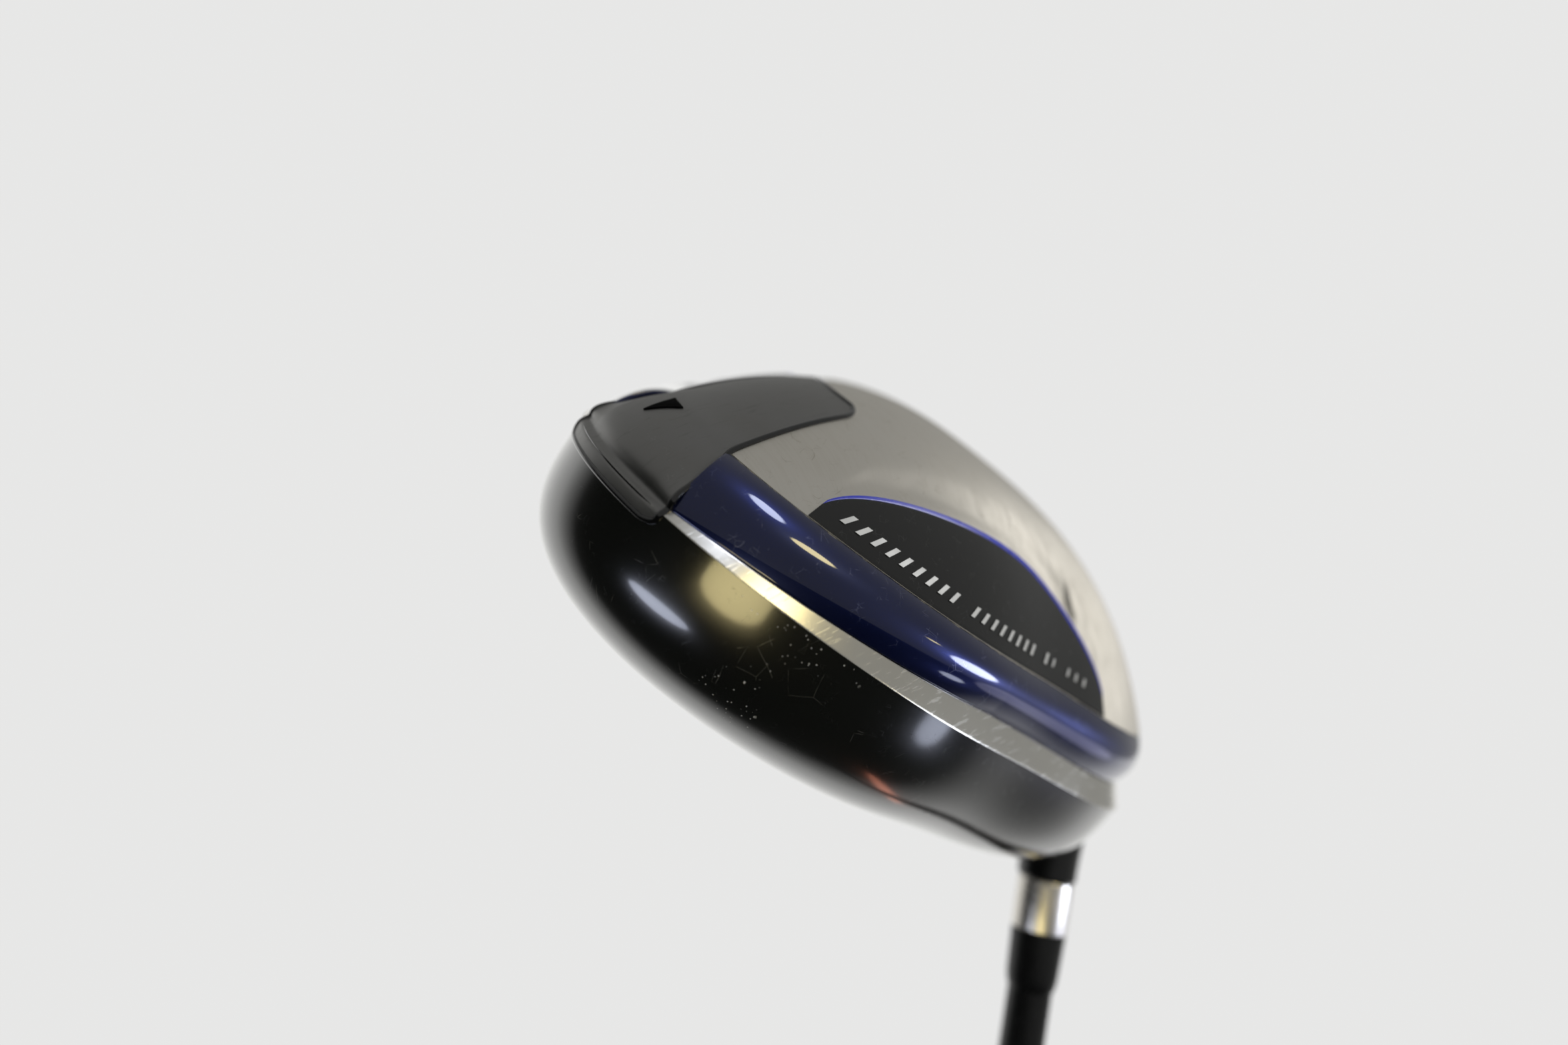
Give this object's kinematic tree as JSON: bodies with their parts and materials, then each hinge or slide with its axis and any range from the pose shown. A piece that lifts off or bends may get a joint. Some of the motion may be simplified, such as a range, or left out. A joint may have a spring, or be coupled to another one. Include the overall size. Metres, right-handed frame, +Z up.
{
  "type": "golf driver",
  "caption": "Right-handed oversize golf driver: hollow black and silver head with a blue side band, bare hosel ring, tapered black shaft and rubber grip.",
  "frame": {"origin": "where the shaft's axis meets the ground, with the club standing at its lie angle", "axes": "+Z up, +X from toe to heel, which is the way the shaft leans, and +Y from the face to the tail"},
  "size_m": [0.6878, 0.1195, 0.9859],
  "materials": {
    "crown_black": "gloss",
    "trim_silver": "polished",
    "band_blue": "gloss",
    "sole_silver": "satin",
    "panel_black": "satin",
    "stripe_blue": "gloss",
    "face_metal": "satin",
    "frame_dark": "satin",
    "gunmetal": "satin",
    "gasket_black": "gloss",
    "titanium_raw": "matte",
    "neck_black": "gloss",
    "ring_steel": "satin",
    "tungsten": "matte",
    "hot_melt": "matte",
    "epoxy": "gloss",
    "ferrule_black": "gloss",
    "shaft_black": "gloss",
    "shaft_decal": "gloss",
    "grip_tape": "matte",
    "grip_rubber": "matte"
  },
  "bodies": {
    "root": {"crown": "crown_black", "heel_trim": "trim_silver", "toe_trim": "trim_silver", "heel_band": "band_blue", "toe_band": "band_blue", "sole_plate": "sole_silver", "heel_panel": "panel_black", "toe_panel": "panel_black", "heel_pinstripe": "stripe_blue", "toe_pinstripe": "stripe_blue", "face_plate": "face_metal", "face_frame": "frame_dark", "rear_cover": "gunmetal", "rear_gasket": "gasket_black", "heel_skirt_frame": "titanium_raw", "toe_skirt_frame": "titanium_raw", "weight_boss": "titanium_raw", "sound_ribs": "titanium_raw", "hosel_tube": "titanium_raw", "bore_plug": "titanium_raw", "hosel_neck": "neck_black", "hosel_ring": "ring_steel", "rear_weight": "tungsten", "tip_weight_pin": "tungsten", "hot_melt_pad": "hot_melt", "hosel_epoxy": "epoxy", "ferrule": "ferrule_black", "shaft": "shaft_black", "shaft_band": "shaft_decal", "grip_tape": "grip_tape", "grip": "grip_rubber"}
  },
  "joints": []
}
